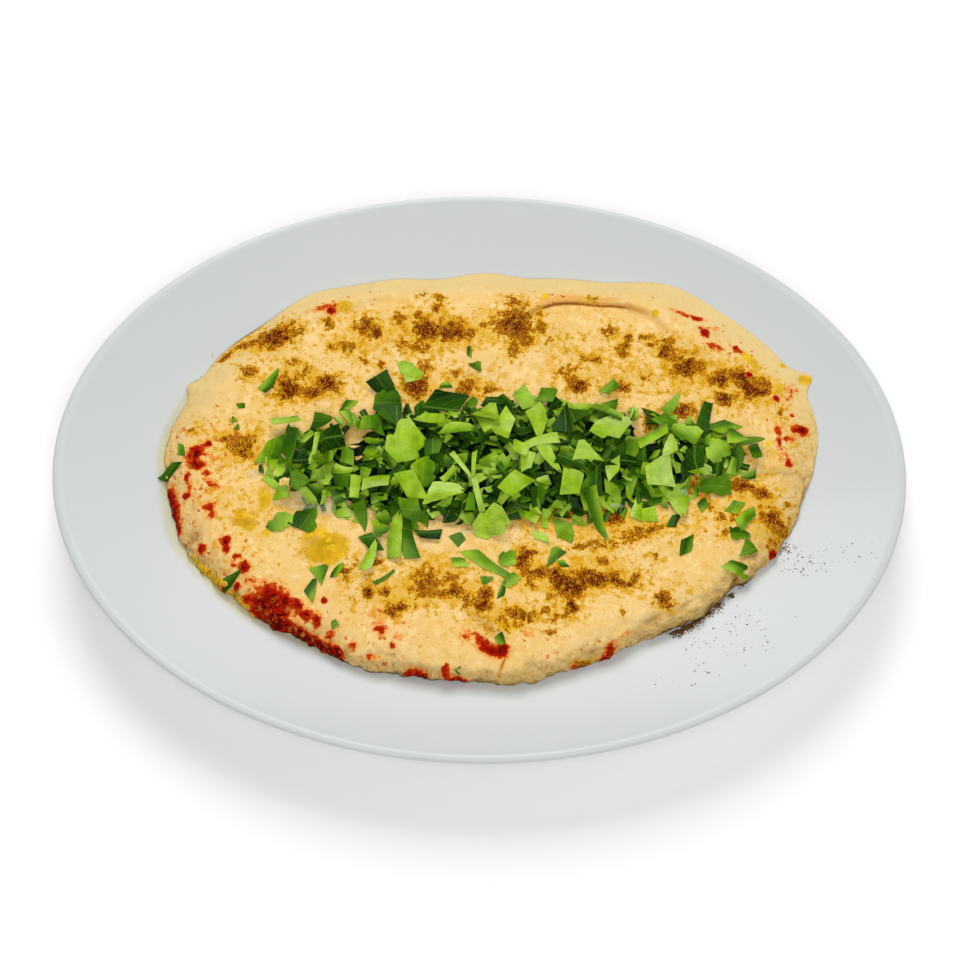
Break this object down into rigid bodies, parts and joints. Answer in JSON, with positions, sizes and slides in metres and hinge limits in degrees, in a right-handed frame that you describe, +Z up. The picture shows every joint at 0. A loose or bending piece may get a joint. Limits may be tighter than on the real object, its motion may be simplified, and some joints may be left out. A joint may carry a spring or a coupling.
{
  "type": "hummus on an oval platter",
  "caption": "Oval white platter of creamy chickpea dip, heaped with chopped parsley, with ground spices and olive oil.",
  "frame": {"origin": "centre of the oval, in the plane that the platter's foot ring stands on", "axes": "+X along the platter's long axis, -Y towards the diner, +Z up"},
  "size_m": [0.29, 0.211, 0.0279],
  "materials": {
    "glaze": "smooth white glaze, glossy",
    "dip": null,
    "parsley": null,
    "oil": null
  },
  "bodies": {
    "root": {"platter": "glaze", "hummus": "dip", "parsley_heap": "parsley", "oil_film": "oil", "oil_puddle_large": "oil", "oil_puddle_small": "oil"}
  },
  "joints": []
}
